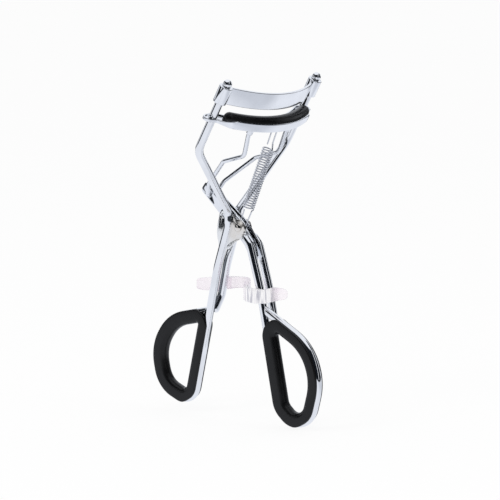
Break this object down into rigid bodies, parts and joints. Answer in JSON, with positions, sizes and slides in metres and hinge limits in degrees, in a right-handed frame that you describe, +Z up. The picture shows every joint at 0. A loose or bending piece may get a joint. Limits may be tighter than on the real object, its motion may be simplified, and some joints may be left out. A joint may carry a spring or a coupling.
{
  "type": "eyelash curler",
  "caption": "Scissor-action hand tool that clamps eyelashes between a curved metal jaw and a curved rubber pad to bend them upwards.",
  "frame": {"origin": "centre of the pivot pin between the two handles", "axes": "+Z up towards the jaws with the finger loops below, +X the side the lever handle opens to and the jaws bulge to, +Y along the pivot pin; the tool is rotated so that the handles hang down"},
  "size_m": [0.0637, 0.0476, 0.1017],
  "materials": {
    "chrome": "mirror",
    "spring_steel": "satin",
    "liner_rubber": "satin",
    "pad_rubber": "satin",
    "clip_plastic": "clear moulded plastic with a faint pink tint"
  },
  "bodies": {
    "frame": {"frame_wire_near": "chrome", "frame_wire_far": "chrome", "upper_jaw": "chrome", "pivot_bracket": "chrome", "pivot_pin": "chrome", "frame_loop_liner": "liner_rubber", "handle_clip": "clip_plastic", "return_spring": "spring_steel"},
    "lever": {"lever_link_plate": "chrome", "lever_wire_near": "chrome", "lever_wire_far": "chrome", "lever_loop_liner": "liner_rubber"},
    "lower_jaw": {"lower_jaw": "chrome", "jaw_pad": "pad_rubber", "link_wire_near": "chrome", "link_wire_far": "chrome", "link_collars": "chrome"}
  },
  "joints": [
    {"name": "lever_pivot", "type": "hinge", "parent": "frame", "child": "lever", "pos_m": [0, 0, 0], "axis": [0, 1, 0], "range_deg": [-16, 6.4]},
    {"name": "jaw_slide", "type": "slide", "parent": "frame", "child": "lower_jaw", "axis": [0.4947, 0, 0.8691], "range_m": [-0.00409, 0.00164], "deforming": ["return_spring"]}
  ],
  "couplings": [
    {"joint": "jaw_slide", "follows": "lever_pivot", "m_per_rad": 0.0146}
  ]
}
